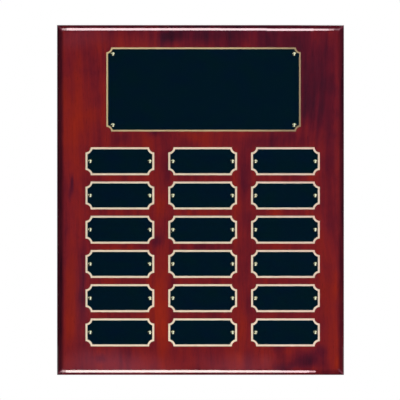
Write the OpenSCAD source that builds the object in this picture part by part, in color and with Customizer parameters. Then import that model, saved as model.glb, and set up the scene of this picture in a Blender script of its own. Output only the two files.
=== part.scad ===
// Perpetual award plaque: a veneered board with a header plate and a grid of name plates.
// Millimetres. The board stands upright with its front towards -Y and +Z up.
// The origin is the centre of the back face, which lies against the wall at y = 0.

/* [Board] */
// Width of the board
board_w = 266.7; // [262:0.1:290]
// Height of the board
board_h = 325.3; // [320:0.1:345]
// Depth of the board from the wall to its front face
board_t = 19; // [17:0.5:25]
// Radius of the rounded front edge
edge_r = 6; // [4:0.5:8]
// Thickness of the rosewood veneer with its lacquer
veneer_t = 0.8; // [0.5:0.1:1]
// Thickness of the balancing veneer on the back
backing_t = 0.6; // [0.4:0.1:0.9]

/* [Header plate] */
// Width of the header plate
header_w = 180.5; // [150:0.5:190]
// Height of the header plate
header_h = 78; // [60:0.5:80]
// Radius of the scooped corners
header_notch_r = 4.4; // [3:0.1:5]
// Width of the bare brass border
header_border = 1.5; // [1:0.1:2]
// Height of the header's centre above the board's centre
header_z = 102.7; // [100:0.1:106]
// Distance of the header's centre to the right of the board's centre
header_x = 2.8; // [-3:0.1:3]

/* [Name plates] */
// Columns of name plates
columns = 3; // [1:1:3]
// Rows of name plates
rows = 6; // [1:1:6]
// Width of a name plate
name_w = 63.8; // [50:0.1:70]
// Height of a name plate
name_h = 25.9; // [22:0.1:28]
// Radius of the scooped corners
name_notch_r = 4.8; // [3:0.1:6]
// Width of the bare brass border
name_border = 1.8; // [1:0.1:2]
// Distance between columns
column_pitch = 76.9; // [75:0.1:80]
// Distance between rows
row_pitch = 31.8; // [30:0.1:32]
// Distance of the grid's centre below the board's centre
grid_drop = 43.5; // [42:0.1:45]
// Distance of the grid's centre to the right of the board's centre
grid_x = 2; // [-3:0.1:3]

/* [Plate stock] */
// Thickness of the brass sheet
plate_t = 0.7; // [0.5:0.1:1]
// Thickness of the printed black lacquer
field_t = 0.08; // [0.05:0.01:0.1]

/* [Pins] */
// Diameter of a pin's head
pin_head_d = 3.8; // [2.8:0.1:4]
// Rise of the domed head
pin_head_h = 1.2; // [0.8:0.1:1.3]
// Diameter of a pin's shank
pin_d = 1.3; // [1.1:0.1:1.5]
// Length of a pin below its head, point included
pin_length = 9; // [7:0.5:10]
// Inset of a name plate's pins from its ends
name_pin_inset = 4.2; // [4:0.1:6]
// Inset of the header's pins from its edges
header_pin_inset = 6; // [5.5:0.1:8]

/* [Keyhole hangers] */
// Distance between the two hangers
hanger_spacing = 152.4; // [100:0.1:180]
// Height of the keyholes above the board's centre
hanger_z = 118; // [90:1:125]
// Width of a hanger
hanger_w = 15; // [14:0.5:18]
// Length of a hanger
hanger_l = 44; // [42:1:50]
// Thickness of a hanger
hanger_t = 1.4; // [1.2:0.1:1.6]
// Diameter of the hole that the wall screw's head enters
entry_d = 9.5; // [9:0.1:10]
// Width of the slot that the wall screw's shank rises into
slot_w = 4.8; // [4:0.1:5]
// Travel from the entry hole to the top of the slot
slot_rise = 10; // [9:0.5:11]
// Depth of the pocket behind the hanger
pocket_depth = 7; // [6:0.5:8]
// Distance between a hanger's two screws
hanger_screw_pitch = 34; // [33:0.5:36]
// Diameter of a hanger screw's shank
screw_d = 2.8; // [2.4:0.1:3]
// Diameter of a hanger screw's countersunk head
screw_head_d = 5.4; // [5:0.1:5.6]
// Length of a hanger screw
screw_length = 12; // [10:1:13]

/* [Hidden] */
$fn = 48;
eps = 0.01;
core_w = board_w - 2 * veneer_t;
core_h = board_h - 2 * veneer_t;
core_r = edge_r - veneer_t;
front_y = -board_t;
core_front_y = front_y + veneer_t;
plate_face_y = front_y - plate_t;
field_face_y = plate_face_y - field_t;
pin_head_r = (pin_head_d * pin_head_d / 4 + pin_head_h * pin_head_h) / (2 * pin_head_h);
pin_point = 1.6 * pin_d;
pin_shank = pin_length - pin_point;
pin_clearance = 0.1;
pilot_d = pin_d - 0.2;
pilot_stop_y = field_face_y + pin_length;
screw_pilot_d = screw_d - 0.6;
screw_head_depth = (screw_head_d - screw_d) / 2;
screw_point = 1.2 * screw_d;
hanger_back_y = -0.1;
pocket_w = entry_d + 3;
pocket_lift = slot_rise / 2;
name_spots = [for (row = [1 : rows]) for (column = [1 : columns]) [row, column]];

function name_x(column) = grid_x + (column - (columns + 1) / 2) * column_pitch;
function name_z(row) = -grid_drop + ((rows + 1) / 2 - row) * row_pitch;
function name_node(spot) = str("name_plate_r", spot[0], "c", spot[1]);
function name_centre(spot) = [name_x(spot[1]), name_z(spot[0])];
function name_pins(spot) = [for (side = [-1, 1])
    name_centre(spot) + [side * (name_w / 2 - name_pin_inset), 0]];

header_centre = [header_x, header_z];
header_pin_spots = [for (side = [-1, 1]) for (level = [-1, 1]) header_centre
    + [side * (header_w / 2 - header_pin_inset), level * (header_h / 2 - header_pin_inset)]];
name_pin_spots = [for (spot = name_spots) each name_pins(spot)];
all_pin_spots = concat(header_pin_spots, name_pin_spots);
hanger_spots = [for (side = [-1, 1]) [side * hanger_spacing / 2, hanger_z]];
hanger_middle = [0, pocket_lift];

// Stands a flat outline upright: its x and y become x and z, and it grows from y towards -Y.
module upright(y, depth)
    translate([0, y, 0])
        rotate([90, 0, 0])
            linear_extrude(depth)
                children();

// Cross-section of a board: the back edge on the axis, the front corners rounded.
module board_section(span, depth, r) {
    translate([-span / 2, r - depth])
        square([span, depth - r]);
    translate([r - span / 2, -depth])
        square([span - 2 * r, depth]);
    for (side = [-1, 1])
        translate([side * (span / 2 - r), r - depth])
            circle(r);
}

// A board whose front edge is rounded on all four sides, so that the rounds meet in a mitre.
module rounded_board(w, h, depth, r)
    intersection() {
        linear_extrude(h, center = true)
            board_section(w, depth, r);
        rotate([0, 90, 0])
            linear_extrude(w, center = true)
                board_section(h, depth, r);
    }

// A rectangle with scooped corners. The scoops stay centred on the full plate's corners.
module scooped_outline(w, h, notch_r, inset)
    difference() {
        square([w - 2 * inset, h - 2 * inset], center = true);
        for (x = [-w / 2, w / 2])
            for (z = [-h / 2, h / 2])
                translate([x, z])
                    circle(notch_r + inset);
    }

module round_holes(spots, d)
    for (spot = spots)
        translate(spot)
            circle(d = d);

// Brass sheet of one plate, drilled for its pins
module brass_sheet(centre, w, h, notch_r, pin_spots)
    upright(front_y, plate_t)
        difference() {
            translate(centre)
                scooped_outline(w, h, notch_r, 0);
            round_holes(pin_spots, pin_d + 2 * pin_clearance);
        }

// Black lacquer printed inside the border of one plate
module black_field(centre, w, h, notch_r, border, pin_spots)
    upright(plate_face_y, field_t)
        difference() {
            translate(centre)
                scooped_outline(w, h, notch_r, border);
            round_holes(pin_spots, pin_d + 2 * pin_clearance);
        }

// A round-headed pin, driven in along +Y, with its head resting at y = 0
module pin()
    rotate([90, 0, 0]) {
        rotate_extrude()
            intersection() {
                translate([0, pin_head_h - pin_head_r])
                    circle(pin_head_r);
                square([pin_head_d / 2, pin_head_h]);
            }
        translate([0, 0, -pin_shank])
            cylinder(h = pin_shank + eps, d = pin_d);
        translate([0, 0, -pin_length])
            cylinder(h = pin_point, d1 = 0, d2 = pin_d);
    }

module pins(spots)
    for (spot = spots)
        translate([spot[0], field_face_y, spot[1]])
            pin();

// A long outline with round ends, standing along z
module slot_outline(length, w) {
    square([w, length - w], center = true);
    for (end = [-1, 1])
        translate([0, end * (length - w) / 2])
            circle(d = w);
}

module hanger_outline()
    translate(hanger_middle)
        slot_outline(hanger_l, hanger_w);

module keyhole_outline() {
    circle(d = entry_d);
    translate([-slot_w / 2, 0])
        square([slot_w, slot_rise]);
    translate([0, slot_rise])
        circle(d = slot_w);
}

function hanger_screw_spots(spot) = [for (end = [-1, 1])
    spot + hanger_middle + [0, end * hanger_screw_pitch / 2]];

// A countersunk screw, driven in along -Y, with the top of its head at y = 0
module hanger_screw()
    rotate([90, 0, 0])
        difference() {
            union() {
                cylinder(h = screw_head_depth, d1 = screw_head_d, d2 = screw_d);
                translate([0, 0, screw_head_depth - eps])
                    cylinder(h = screw_length - screw_head_depth - screw_point + eps, d = screw_d);
                translate([0, 0, screw_length - screw_point])
                    cylinder(h = screw_point, d1 = screw_d, d2 = 0);
            }
            for (turn = [0, 90])
                rotate(turn)
                    translate([0, 0, screw_head_depth / 4])
                        cube([screw_head_d / 2, screw_head_d / 8, screw_head_depth], center = true);
        }

module keyhole_hanger(spot)
    difference() {
        upright(hanger_back_y, hanger_t)
            translate(spot)
                difference() {
                    hanger_outline();
                    keyhole_outline();
                }
        for (hole = hanger_screw_spots(spot))
            translate([hole[0], hanger_back_y, hole[1]])
                rotate([90, 0, 0]) {
                    cylinder(h = screw_head_depth, d1 = screw_head_d, d2 = screw_d);
                    cylinder(h = hanger_t + eps, d = screw_d);
                }
    }

module board_core() color("#a5774b")
    difference() {
        translate([0, -backing_t, 0])
            rounded_board(core_w, core_h, -core_front_y - backing_t, core_r);
        for (spot = hanger_spots) {
            upright(eps, hanger_t - hanger_back_y + eps)
                translate(spot)
                    hanger_outline();
            upright(eps, hanger_t - hanger_back_y + pocket_depth + eps)
                translate(spot + hanger_middle)
                    slot_outline(slot_rise + pocket_w, pocket_w);
            upright(eps, screw_length + eps)
                round_holes(hanger_screw_spots(spot), screw_pilot_d);
        }
        upright(pilot_stop_y, pin_length)
            round_holes(all_pin_spots, pilot_d);
    }

module rosewood_veneer() color("#701822")
    difference() {
        rounded_board(board_w, board_h, board_t, edge_r);
        translate([0, eps, 0])
            rounded_board(core_w, core_h, eps - core_front_y, core_r);
        upright(pilot_stop_y, pin_length)
            round_holes(all_pin_spots, pilot_d);
    }

module backing_veneer() color("#2a1a16")
    upright(0, backing_t)
        difference() {
            square([core_w, core_h], center = true);
            for (spot = hanger_spots)
                translate(spot)
                    hanger_outline();
        }

module header_plate() color("#d8b878")
    brass_sheet(header_centre, header_w, header_h, header_notch_r, header_pin_spots);

module header_black_field() color("#04161c")
    black_field(header_centre, header_w, header_h, header_notch_r, header_border, header_pin_spots);

module name_plate(spot) color("#f0dcb8")
    brass_sheet(name_centre(spot), name_w, name_h, name_notch_r, name_pins(spot));

module name_plate_black_fields() color("#04161c")
    for (spot = name_spots)
        black_field(name_centre(spot), name_w, name_h, name_notch_r, name_border, name_pins(spot));

module header_pins() color("#e2dcb4")
    pins(header_pin_spots);

module name_plate_pins() color("#e2dcb4")
    pins(name_pin_spots);

module keyhole_hanger_left() color("#b9bdc2")
    keyhole_hanger(hanger_spots[0]);

module keyhole_hanger_right() color("#b9bdc2")
    keyhole_hanger(hanger_spots[1]);

module hanger_screws() color("#c9c2a6")
    for (spot = hanger_spots)
        for (hole = hanger_screw_spots(spot))
            translate([hole[0], hanger_back_y, hole[1]])
                hanger_screw();

board_core();
rosewood_veneer();
backing_veneer();
header_plate();
header_black_field();
for (spot = name_spots)
    name_plate(spot);
name_plate_black_fields();
header_pins();
name_plate_pins();
keyhole_hanger_left();
keyhole_hanger_right();
hanger_screws();
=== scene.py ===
"""Wooden award plaque: looks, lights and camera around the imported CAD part."""

import math

import bpy
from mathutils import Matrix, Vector


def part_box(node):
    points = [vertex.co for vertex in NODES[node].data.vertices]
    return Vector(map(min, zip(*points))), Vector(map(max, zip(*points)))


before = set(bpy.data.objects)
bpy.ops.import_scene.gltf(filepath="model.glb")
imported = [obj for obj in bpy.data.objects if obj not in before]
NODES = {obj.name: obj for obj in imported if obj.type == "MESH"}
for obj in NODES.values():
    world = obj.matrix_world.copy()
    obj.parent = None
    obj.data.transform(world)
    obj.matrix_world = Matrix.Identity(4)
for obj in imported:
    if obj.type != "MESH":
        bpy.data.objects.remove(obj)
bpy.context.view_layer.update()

# ---------------------------------------------------------------- the board
board_low, board_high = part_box("rosewood_veneer")
FRONT_Y = board_low.y
HALF_W = board_high.x
HALF_H = board_high.z

# ---------------------------------------------------------------- camera
CAMERA_DISTANCE = 6.0
CAMERA_X = -0.00047
LENS = 581.2
cam_data = bpy.data.cameras.new("camera")
cam_data.sensor_width = 36
cam_data.lens = LENS
cam_data.clip_end = 50
camera = bpy.data.objects.new("camera", cam_data)
bpy.context.scene.collection.objects.link(camera)
camera.location = (CAMERA_X, FRONT_Y - CAMERA_DISTANCE, 0)
camera.rotation_euler = (math.pi / 2, 0, 0)
bpy.context.scene.camera = camera
bpy.context.scene.view_settings.view_transform = "Standard"


# ---------------------------------------------------------------- node helpers
class Shader:
    """A Principled material whose inputs are built from object coordinates, in metres."""

    def __init__(self, name, **constants):
        self.mat = bpy.data.materials.new(name)
        self.mat.use_nodes = True
        self.tree = self.mat.node_tree
        self.tree.nodes.clear()
        out = self.tree.nodes.new("ShaderNodeOutputMaterial")
        self.bsdf = self.tree.nodes.new("ShaderNodeBsdfPrincipled")
        self.link(self.bsdf.outputs["BSDF"], out.inputs["Surface"])
        for key, value in constants.items():
            self.bsdf.inputs[key.replace("_", " ")].default_value = value
        self.here = self.node("ShaderNodeTexCoord").outputs["Object"]

    def node(self, kind, **settings):
        made = self.tree.nodes.new(kind)
        for key, value in settings.items():
            setattr(made, key, value)
        return made

    def link(self, source, socket):
        self.tree.links.new(source, socket)

    def feed(self, socket, value):
        if isinstance(value, bpy.types.NodeSocket):
            self.link(value, socket)
        else:
            socket.default_value = value

    def math(self, operation, *values):
        made = self.node("ShaderNodeMath", operation=operation)
        for socket, value in zip(made.inputs, values):
            self.feed(socket, value)
        return made.outputs[0]

    def vector(self, operation, *values):
        made = self.node("ShaderNodeVectorMath", operation=operation)
        for socket, value in zip(made.inputs, values):
            self.feed(socket, value)
        return made.outputs["Value" if operation == "LENGTH" else "Vector"]

    def texture(self, where, scale, detail, rough=0.5):
        """A noise node whose features are about 1/scale metres along each axis."""
        made = self.node("ShaderNodeTexNoise")
        self.link(self.vector("MULTIPLY", where, scale), made.inputs["Vector"])
        made.inputs["Scale"].default_value = 1.0
        made.inputs["Detail"].default_value = detail
        made.inputs["Roughness"].default_value = rough
        return made

    def noise(self, where, scale, detail, rough=0.5):
        return self.texture(where, scale, detail, rough).outputs["Fac"]

    def warp(self, where, scale, amount, detail=2.0):
        """The coordinates pushed about by noise, each axis by up to half of its amount."""
        colour = self.texture(where, scale, detail).outputs["Color"]
        push = self.vector("SUBTRACT", colour, (0.5, 0.5, 0.5))
        return self.vector("ADD", where, self.vector("MULTIPLY", push, amount))

    def sway(self, base, noise, amount):
        """The base raised or lowered by the noise, which lies about one half, times amount."""
        return self.math("MULTIPLY_ADD", self.math("SUBTRACT", noise, 0.5), amount, base)

    def axes(self, where):
        """The three coordinates as separate numbers."""
        made = self.node("ShaderNodeSeparateXYZ")
        self.link(where, made.inputs[0])
        return made.outputs

    def span(self, value, low, high, to_low=0.0, to_high=1.0):
        """A smooth step from to_low to to_high as the value goes from low to high."""
        made = self.node("ShaderNodeMapRange", interpolation_type="SMOOTHSTEP")
        for socket, number in zip(made.inputs, (value, low, high, to_low, to_high)):
            self.feed(socket, number)
        return made.outputs[0]

    def ramp(self, value, *stops):
        made = self.node("ShaderNodeValToRGB")
        points = made.color_ramp.elements
        while len(points) < len(stops):
            points.new(0.5)
        for point, (place, colour) in zip(points, stops):
            point.position = place
            point.color = (*colour, 1)
        self.link(value, made.inputs["Fac"])
        return made.outputs["Color"]

    def mix(self, amount, a, b, blend="MIX"):
        made = self.node("ShaderNodeMix", data_type="RGBA", blend_type=blend)
        self.feed(made.inputs[0], amount)
        for socket, value in zip((made.inputs[6], made.inputs[7]), (a, b)):
            self.feed(socket, (*value, 1) if isinstance(value, tuple) else value)
        return made.outputs[2]

    def shade(self, colour, value):
        """The colour times a number."""
        grey = self.node("ShaderNodeCombineXYZ")
        for socket in grey.inputs:
            self.link(value, socket)
        return self.mix(1.0, colour, grey.outputs[0], "MULTIPLY")

    def bump(self, height, strength, distance):
        made = self.node("ShaderNodeBump")
        made.inputs["Strength"].default_value = strength
        made.inputs["Distance"].default_value = distance
        self.link(height, made.inputs["Height"])
        return made.outputs["Normal"]

    def clouds(self, where, listing):
        """The sum of soft-edged ovals on the front face.
        Each is x, z, half width and half height in mm, and a weight."""
        total = None
        for x, z, wide, tall, weight in listing:
            offset = self.vector("SUBTRACT", where, (x / 1000, 0, z / 1000))
            scaled = self.vector("MULTIPLY", offset, (1000 / wide, 0, 1000 / tall))
            reach = self.span(self.vector("LENGTH", scaled), 0, 1, weight, 0)
            total = reach if total is None else self.math("ADD", total, reach)
        return total

    def set(self, **sockets):
        for key, value in sockets.items():
            self.link(value, self.bsdf.inputs[key.replace("_", " ")])
        return self.mat


def dress(material, *names):
    """Gives the named CAD nodes this material."""
    for name in names:
        mesh = NODES[name].data
        mesh.materials.clear()
        mesh.materials.append(material)


# ---------------------------------------------------------------- rosewood veneer
def rosewood():
    s = Shader(
        "rosewood_gloss",
        Roughness=0.5,
        Specular_IOR_Level=0.0,
        Coat_Weight=1.0,
        Coat_Roughness=0.03,
        Coat_IOR=1.5,
    )
    drift = s.warp(s.here, (14, 10, 6), (0.022, 0.01, 0.03))
    wander = s.warp(drift, (60, 40, 16), (0.007, 0.004, 0.010), 3)
    figure = s.noise(drift, (40, 30, 7), 4, 0.55)
    streaks = s.noise(wander, (150, 120, 12), 4, 0.6)
    threads = s.noise(wander, (700, 500, 30), 3, 0.6)
    mottle = s.noise(wander, (50, 50, 40), 4, 0.6)
    pores = s.noise(s.here, (3200, 2600, 170), 2, 0.5)

    tone = s.sway(0.5, figure, 0.65)
    tone = s.sway(tone, streaks, 0.6)
    tone = s.sway(tone, mottle, -0.55)
    tone = s.math("ADD", tone, s.clouds(wander, WARM_CLOUDS))
    colour = s.ramp(
        tone,
        (0.0, (0.036, 0.0060, 0.0150)),
        (0.25, (0.080, 0.0067, 0.0152)),
        (0.5, (0.141, 0.0100, 0.0132)),
        (0.75, (0.192, 0.0132, 0.0080)),
        (1.0, (0.250, 0.0185, 0.0065)),
    )
    value = s.sway(1.0, streaks, 0.30)
    value = s.sway(value, threads, 0.32)
    value = s.math("ADD", value, s.clouds(wander, LIGHT_CLOUDS))
    value = s.math("MULTIPLY", value, s.span(pores, 0.36, 0.30, 1.0, 0.62))
    colour = s.shade(colour, value)
    # painted reflection: a pale mauve sheen is added along the bottom and in the upper left
    # corner
    colour = s.mix(s.clouds(wander, PAINTED_SHEEN_CLOUDS), colour, PAINTED_SHEEN, "ADD")

    # the routed edge and the sides are darkened, partly by a real darker toner and partly by
    # painted shade of the rounded edges; the painted shade is lighter low on the right
    x, _, z = s.axes(s.warp(s.here, (90, 90, 90), (0.0008, 0, 0.0008)))
    left = s.span(s.math("ADD", HALF_W, x), *TONER_AND_SHADE_LEFT, 1, 0)
    right = s.span(s.math("SUBTRACT", HALF_W, x), *TONER_AND_SHADE_RIGHT, 1, 0)
    right = s.math("MULTIPLY", right, s.span(z, -HALF_H, 0.2 * HALF_H, 0.72, 1.0))
    top = s.span(s.math("SUBTRACT", HALF_H, z), *TONER_AND_SHADE_TOP, 0.6, 0)
    bottom = s.span(s.math("ADD", HALF_H, z), *TONER_AND_SHADE_BOTTOM, 0.45, 0)
    # the mask of edge toner together with painted shade of the rounded edges
    toner_and_shade = s.math("MAXIMUM", s.math("MAXIMUM", left, right), s.math("MAXIMUM", top, bottom))
    uneven = s.span(s.noise(s.here, (30, 30, 12), 3, 0.5), 0.3, 0.7, 0.90, 1.0)
    toner_and_shade = s.math("MULTIPLY", toner_and_shade, uneven)
    dark = s.mix(s.span(streaks, 0.3, 0.7), *TONER_AND_SHADE_COLOURS)
    colour = s.mix(toner_and_shade, colour, dark)

    # painted highlight: paler pink glints are painted along the mitres, where the rounded edges
    # meet
    from_side = s.math("SUBTRACT", HALF_W, s.math("ABSOLUTE", x))
    from_end = s.math("SUBTRACT", HALF_H, s.math("ABSOLUTE", z))
    off_mitre = s.math("ABSOLUTE", s.math("SUBTRACT", from_side, from_end))
    mitre_glint = s.math(
        "MULTIPLY",
        s.span(off_mitre, 0.0003, 0.0022, 0.6, 0),
        s.span(s.math("MAXIMUM", from_side, from_end), 0.0045, 0.0068, 1, 0),
    )
    colour = s.mix(mitre_glint, colour, PAINTED_MITRE_GLINT)

    grain = s.bump(threads, 0.25, 0.00004)
    peel = s.bump(s.noise(s.here, (90, 90, 90), 2, 0.4), 0.004, 0.0004)
    return s.set(Base_Color=colour, Normal=grain, Coat_Normal=peel)


# colour of the painted mauve reflection
PAINTED_SHEEN = (0.045, 0.0150, 0.0220)
# colour of the painted highlight along the mitres
PAINTED_MITRE_GLINT = (0.150, 0.036, 0.055)
# dark colours of the edge toner and of the painted shade of the rounded edges
TONER_AND_SHADE_COLOURS = ((0.014, 0.0020, 0.0060), (0.045, 0.0050, 0.0100))
# how far in from each edge the toner and painted shade stay full, and where they have faded
# out, in metres
TONER_AND_SHADE_LEFT = (0.0036, 0.0074)
TONER_AND_SHADE_RIGHT = (0.0025, 0.0068)
TONER_AND_SHADE_TOP = (0.0040, 0.0066)
TONER_AND_SHADE_BOTTOM = (0.0030, 0.0066)
# figure of the front face, as soft ovals: orange-red where positive, purple where negative
WARM_CLOUDS = (
    (75, 112, 100, 80, -0.34),
    (10, 158, 125, 24, -0.32),
    (62, 55, 62, 16, -0.24),
    (5, 22, 34, 9, -0.16),
    (84, 22, 30, 9, -0.14),
    (5, -43, 30, 9, -0.20),
    (42, -95, 10, 18, -0.16),
    (124, -96, 8, 24, -0.12),
    (115, 90, 30, 70, -0.10),
    (-28, 151, 18, 10, -0.30),
    (4, 149, 14, 10, -0.20),
    (-118, 85, 20, 75, 0.16),
    (-97, 79, 12, 14, 0.20),
    (-122, -88, 8, 75, 0.30),
    (-113, -84, 7, 60, -0.26),
    (-122, 12, 3.5, 14, -0.42),
    (-124, 2, 3, 10, -0.30),
    (-36, -95, 13, 75, 0.34),
    (-37, -4, 12, 28, 0.22),
    (-39, -39, 11, 9, -0.28),
    (-75, -43, 28, 6, 0.20),
    (-8, 56, 20, 9, 0.22),
    (-46, 58, 10, 8, -0.30),
    (-76, 57, 14, 8, -0.15),
    (42, 30, 12, 42, -0.26),
    (39, -107, 8, 45, 0.26),
    (121, -82, 14, 62, 0.16),
    (127, -151, 5, 13, 0.30),
    (98, -150, 22, 13, -0.42),
    (80, -155, 18, 8, -0.34),
    (110, -140, 11, 9, -0.28),
    (80, -140, 10, 6, 0.12),
    (59, -146, 6, 10, 0.06),
    (37, -146, 7, 12, 0.25),
    (-95, -147, 8, 8, -0.35),
)
# lighter where positive, darker where negative
LIGHT_CLOUDS = (
    (-118, 0, 34, 210, 0.08),
    (-36, -90, 16, 75, 0.10),
    (-60, -150, 80, 16, 0.08),
    (-24, 151, 15, 9, -0.22),
    (84, -150, 40, 14, -0.06),
    (69, -145, 3, 10, 0.16),
)
# painted reflection: a pale mauve sheen along the bottom and in the upper left corner
PAINTED_SHEEN_CLOUDS = (
    (-80, -154, 80, 24, 1.1),
    (35, -154, 60, 18, 0.7),
    (62, -148, 7, 10, 0.3),
    (-112, 152, 40, 16, 0.4),
    (-112, -100, 16, 70, 0.22),
    (-45, 140, 70, 26, 0.15),
)


# ---------------------------------------------------------------- brass and lacquer
BRASS_ROUGHNESS = 0.42


def brass(name, pale, deep, right_shade=1.0):
    """Sheet brass, finely brushed from side to side.
    Towards the right of the board its tone is darkened to right_shade and turned a little
    redder: painted shade."""
    s = Shader(name, Metallic=1.0)
    lines = s.noise(s.here, (150, 400, 5200), 3, 0.6)
    cloud = s.noise(s.here, (60, 60, 60), 3, 0.5)
    colour = s.mix(s.span(lines, 0.3, 0.7), deep, pale)
    colour = s.mix(s.span(cloud, 0.35, 0.75, 0.0, 0.25), colour, deep)
    # painted shade: the brass is darkened and reddened towards the right of the board
    dimmer = s.span(s.axes(s.here)[0], 0.02, 0.10)
    shaded_colour = s.mix(1.0, colour, (right_shade, right_shade * 0.94, right_shade), "MULTIPLY")
    colour = s.mix(dimmer, colour, shaded_colour)
    rough = s.span(lines, 0.25, 0.75, BRASS_ROUGHNESS - 0.02, BRASS_ROUGHNESS + 0.02)
    return s.set(Base_Color=colour, Roughness=rough, Normal=s.bump(lines, 0.05, 0.00002))


def lacquer():
    """Baked black lacquer with a cold cast and a faint ripple."""
    s = Shader(
        "black_lacquer_field",
        Specular_IOR_Level=0.0,
        Coat_Weight=1.0,
        Coat_Roughness=0.04,
    )
    cloud = s.noise(s.warp(s.here, (30, 30, 30), (0.01, 0, 0.01)), (55, 55, 85), 3)
    colour = s.ramp(
        cloud,
        (0.25, (0.0001, 0.0074, 0.0104)),
        (0.50, (0.0001, 0.0064, 0.0126)),
        (0.75, (0.0001, 0.0053, 0.0148)),
    )
    rough = s.span(s.noise(s.here, (420, 420, 420), 3, 0.6), 0.3, 0.7, 0.34, 0.46)
    ripple = s.bump(s.noise(s.here, (420, 420, 420), 2, 0.5), 0.03, 0.0001)
    return s.set(Base_Color=colour, Roughness=rough, Normal=ripple, Coat_Normal=ripple)


def pin_brass():
    s = Shader("pin_polished_brass", Metallic=1.0)
    cloud = s.noise(s.here, (700, 700, 700), 3, 0.6)
    colour = s.mix(s.span(cloud, 0.3, 0.7), (0.74, 0.72, 0.44), (0.88, 0.88, 0.62))
    rough = s.span(cloud, 0.3, 0.7, 0.16, 0.26)
    return s.set(Base_Color=colour, Roughness=rough)


# ---------------------------------------------------------------- the back
def fibreboard():
    s = Shader("fibreboard_routed", Specular_IOR_Level=0.2)
    tangle = s.warp(s.here, (400, 400, 400), (0.002, 0.002, 0.002))
    fibres = s.noise(tangle, (1500, 1500, 1500), 4, 0.7)
    cloud = s.noise(s.here, (60, 60, 60), 3, 0.5)
    colour = s.mix(s.span(fibres, 0.3, 0.7), (0.20, 0.11, 0.05), (0.36, 0.23, 0.12))
    colour = s.mix(s.span(cloud, 0.3, 0.7, 0.0, 0.3), colour, (0.22, 0.13, 0.06))
    rough = s.span(fibres, 0.3, 0.7, 0.75, 0.95)
    return s.set(Base_Color=colour, Roughness=rough, Normal=s.bump(fibres, 0.6, 0.0002))


def backing():
    """Plain balancing veneer, stained dark and left matt."""
    s = Shader("backing_stained", Specular_IOR_Level=0.3)
    drift = s.warp(s.here, (12, 10, 4), (0.02, 0.01, 0.04))
    figure = s.noise(drift, (48, 30, 5), 4, 0.55)
    threads = s.noise(drift, (600, 500, 22), 4, 0.65)
    pores = s.noise(s.here, (2600, 2600, 130), 2, 0.5)
    colour = s.ramp(
        figure,
        (0.25, (0.040, 0.014, 0.010)),
        (0.50, (0.075, 0.028, 0.018)),
        (0.75, (0.120, 0.050, 0.030)),
    )
    grain = s.span(threads, 0.25, 0.75, 0.72, 1.2)
    value = s.math("MULTIPLY", grain, s.span(pores, 0.38, 0.30, 1.0, 0.5))
    colour = s.shade(colour, value)
    rough = s.span(threads, 0.25, 0.75, 0.5, 0.68)
    return s.set(Base_Color=colour, Roughness=rough, Normal=s.bump(threads, 0.5, 0.0001))


ZINC_ROUGHNESS = 0.30


def zinc(name, bright, dimmer):
    """Plated steel with the spangle and handling marks of stamped hardware."""
    s = Shader(name, Metallic=1.0)
    handled = s.warp(s.here, (300, 300, 300), (0.003, 0.003, 0.003))
    spangle = s.noise(handled, (260, 260, 160), 4, 0.6)
    lines = s.noise(s.here, (5200, 400, 160), 3, 0.6)
    colour = s.mix(s.span(spangle, 0.3, 0.7), dimmer, bright)
    rough = s.span(spangle, 0.3, 0.7, ZINC_ROUGHNESS + 0.08, ZINC_ROUGHNESS - 0.05)
    return s.set(Base_Color=colour, Roughness=rough, Normal=s.bump(lines, 0.15, 0.00003))


name_plates = [n for n in NODES if n.startswith("name_plate_r")]
FIELDS = ("header_black_field", "name_plate_black_fields")
PINS = ("header_pins", "name_plate_pins")
HANGERS = ("keyhole_hanger_left", "keyhole_hanger_right")
SCREWS = "hanger_screws"

dress(rosewood(), "rosewood_veneer")
dress(fibreboard(), "board_core")
dress(backing(), "backing_veneer")
dress(
    brass("header_sheet_brass", (0.60, 0.465, 0.268), (0.49, 0.367, 0.192), right_shade=0.62),
    "header_plate",
)
dress(brass("name_plate_sheet_brass", (0.88, 0.74, 0.57), (0.75, 0.61, 0.44)), *name_plates)
dress(lacquer(), *FIELDS)
dress(pin_brass(), *PINS)
dress(zinc("hanger_zinc", (0.72, 0.74, 0.76), (0.48, 0.50, 0.53)), *HANGERS)
dress(zinc("screw_yellow_zinc", (0.80, 0.68, 0.38), (0.56, 0.44, 0.22)), SCREWS)


# ---------------------------------------------------------------- studio
def group(name, nodes):
    made = bpy.data.collections.new(name)
    for n in nodes:
        made.objects.link(NODES[n])
    return made


WHITE = (1, 1, 1)


def area(
    name, place, aim, width, height, watts, diffuse=True, glossy=True, lit=None, tint=WHITE
):
    """A soft box at place, turned to face aim, hidden from the camera.
    It lights the collection lit, or everything."""
    data = bpy.data.lights.new(name, "AREA")
    data.shape = "RECTANGLE"
    data.size, data.size_y = width, height
    data.energy = watts
    data.color = tint
    light = bpy.data.objects.new(name, data)
    bpy.context.scene.collection.objects.link(light)
    light.location = place
    turn = (Vector(aim) - Vector(place)).to_track_quat("-Z", "Y")
    light.rotation_euler = turn.to_euler()
    light.visible_camera = False
    light.visible_diffuse = diffuse
    light.visible_glossy = glossy
    if lit is not None:
        light.light_linking.receiver_collection = lit


def card(
    name, lit, x_left, x_right, aim_z, elevation, distance, half_angle, radiance, tint=WHITE
):
    """A strip of light above or below the front, seen only in glossy reflections.
    It spans x_left..x_right, and its middle is at that elevation and distance from the
    board's front at aim_z. The half angle is half of what it spans from there."""
    e = math.radians(elevation)
    centre_x = (x_left + x_right) / 2
    width = x_right - x_left
    height = 2 * distance * math.tan(math.radians(half_angle))
    aim = (centre_x, FRONT_Y, aim_z)
    place = (centre_x, FRONT_Y - distance * math.cos(e), aim_z + distance * math.sin(e))
    watts = radiance * math.pi * width * height
    area(name, place, aim, width, height, watts, diffuse=False, lit=lit, tint=tint)


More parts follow.
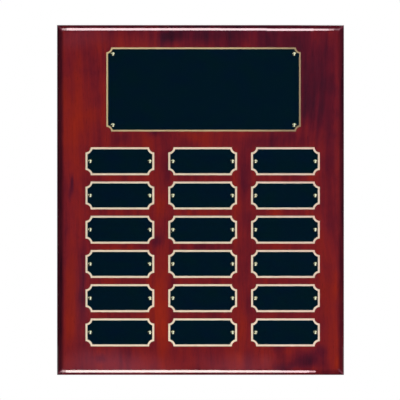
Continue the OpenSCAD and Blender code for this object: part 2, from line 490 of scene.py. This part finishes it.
area("key", (0.7, -2.2, 0.5), (0, 0, 0), 1.6, 1.6, 54, glossy=False)
area("back_fill", (0.9, 1.9, 1.2), (0, 0, 0), 1.4, 1.4, 42)
area("side_fill_right", (2.0, 0.2, 0.9), (0, 0, 0), 1.2, 1.2, 14)
area("side_fill_left", (-2.0, 0.2, 0.9), (0, 0, 0), 1.2, 1.2, 14)
area("overhead", (0, 0.2, 2.0), (0, 0, 0), 1.5, 1.5, 20, glossy=False)

gloss = group("gloss_veneer", ["rosewood_veneer"])
pins = group("pins", PINS)
fields = group("lacquer_fields", FIELDS)
plates = group("brass_plates", ["header_plate", *name_plates])
hardware = group("hardware", [*HANGERS, SCREWS])
area("hardware_card", (0, 1.6, 0.1), (0, 0, 0.1), 3.4, 1.6, 14, diffuse=False, lit=hardware)

# strips close to the board that draw the lines of light along its top and bottom edges. Each
# row holds the edge (1 top, -1 bottom), the strip's left and right ends, its elevation and
# half angle in degrees, its radiance and its tint
STRIP_DISTANCE = 0.05
EDGE_STRIPS = (
    (1, -0.140, -0.1295, 45, 18, 2.4, (1.1, 0.84, 0.90)),
    (1, -0.1295, -0.1255, 43, 20, 10, (1.12, 0.84, 0.87)),
    (1, -0.1255, 0.018, 43, 22, 20.5, (1.12, 0.84, 0.87)),
    (1, 0.018, 0.062, 40, 21, 20.5, (1.14, 0.86, 0.90)),
    (1, 0.062, 0.106, 34, 20.5, 20.5, (1.16, 0.88, 0.92)),
    (1, 0.106, 0.120, 34, 18, 18, (1.16, 0.82, 0.86)),
    (1, 0.120, 0.125, 34, 17, 11, (1.16, 0.76, 0.82)),
    (1, 0.125, 0.150, 38, 17, 3.5, (1.1, 0.70, 0.80)),
    (-1, -0.150, -0.1295, 54, 23, 5, (1.1, 0.84, 0.90)),
    (-1, -0.1295, -0.1263, 54, 23, 10, (1.12, 0.90, 0.90)),
    (-1, -0.1263, 0.018, 55, 25, 20.5, (1.12, 1.00, 0.95)),
    (-1, 0.018, 0.075, 57, 22.5, 20.5, (1.14, 0.95, 0.91)),
    (-1, 0.075, 0.102, 59, 20.5, 20.5, (1.16, 0.84, 0.87)),
    (-1, 0.102, 0.108, 59, 18, 14, (1.16, 0.76, 0.82)),
)
for number, strip in enumerate(EDGE_STRIPS):
    edge, x_left, x_right, elevation, half_angle, radiance, tint = strip
    card(
        f"edge_strip_{number}", gloss, x_left, x_right, edge * HALF_H, edge * elevation,
        STRIP_DISTANCE, half_angle, radiance, tint,
    )

# broad cards, a metre off, that the plates, their lacquer and the pins reflect. Each row
# holds a name, what it lights, the left and right ends, elevation, half angle, radiance, tint
COOL = (1, 1, 1.06)
BROAD_CARDS = (
    ("plate_card_top", plates, -0.6, 0.7, 45, 32, 2.4, WHITE),
    ("plate_card_bottom", plates, -0.6, 0.7, -45, 32, 2.4, WHITE),
    ("field_card_top", fields, -0.6, 0.7, 45, 32, 0.8, WHITE),
    ("field_card_bottom", fields, -0.6, 0.7, -45, 32, 0.8, WHITE),
    ("pin_card_top", pins, -0.30, 0.95, 48, 50, 1.1, COOL),
    ("pin_card_bottom", pins, -0.30, 0.95, -48, 50, 1.1, COOL),
    ("pin_card_above", pins, -0.30, 0.95, 116, 20, 1.1, COOL),
    ("pin_card_below", pins, -0.30, 0.95, -116, 20, 1.1, COOL),
)
for name, lit, x_left, x_right, elevation, half_angle, radiance, tint in BROAD_CARDS:
    card(name, lit, x_left, x_right, 0, elevation, 1.0, half_angle, radiance, tint)

# soft boxes that the gloss shows only in slanting views: above and to each side for
# the top edge, and low behind each side for the upright edges and the sides. Each row
# holds a name, azimuth, elevation, width, height and radiance
SLANT_BOXES = (
    ("upper", 42, 34, 0.70, 0.70, 7),
    ("side", 128, -18, 1.30, 0.62, 0.3),
)
SLANT_DISTANCE = 1.5
for name, azimuth, elevation, width, height, radiance in SLANT_BOXES:
    for side in (-1, 1):
        a, e = math.radians(side * azimuth), math.radians(elevation)
        direction = Vector((math.sin(a) * math.cos(e), -math.cos(a) * math.cos(e), math.sin(e)))
        label = "left" if side < 0 else "right"
        area(
            f"{name}_box_{label}", SLANT_DISTANCE * direction, (0, 0, 0), width, height,
            radiance * math.pi * width * height, diffuse=False, lit=gloss,
        )

world = bpy.data.worlds.new("studio")
bpy.context.scene.world = world
world.use_nodes = True
sky = world.node_tree
sky.nodes.clear()
sky_out = sky.nodes.new("ShaderNodeOutputWorld")
sky_mix = sky.nodes.new("ShaderNodeMixShader")
sky_path = sky.nodes.new("ShaderNodeLightPath")
backdrop = sky.nodes.new("ShaderNodeBackground")
backdrop.inputs["Color"].default_value = (*WHITE, 1)
room = sky.nodes.new("ShaderNodeBackground")
room.inputs["Color"].default_value = (0.012, 0.012, 0.012, 1)
sky.links.new(sky_path.outputs["Is Camera Ray"], sky_mix.inputs[0])
sky.links.new(room.outputs[0], sky_mix.inputs[1])
sky.links.new(backdrop.outputs[0], sky_mix.inputs[2])
sky.links.new(sky_mix.outputs[0], sky_out.inputs[0])

# pale studio floor, well below the plaque
FLOOR_Z = -0.46
floor_mesh = bpy.data.meshes.new("studio_floor")
corners = [(x, y, FLOOR_Z) for x, y in ((-3, -2.5), (3, -2.5), (3, 1.5), (-3, 1.5))]
floor_mesh.from_pydata(corners, [], [(0, 1, 2, 3)])
floor = bpy.data.objects.new("studio_floor", floor_mesh)
bpy.context.scene.collection.objects.link(floor)
matt = Shader("studio_floor_paint", Roughness=0.9)
patches = matt.noise(matt.here, (4, 4, 4), 2)
floor_tone = matt.mix(patches, (0.80, 0.80, 0.80), (0.86, 0.86, 0.86))
floor.visible_glossy = False
floor.visible_shadow = False
floor_mesh.materials.append(matt.set(Base_Color=floor_tone))
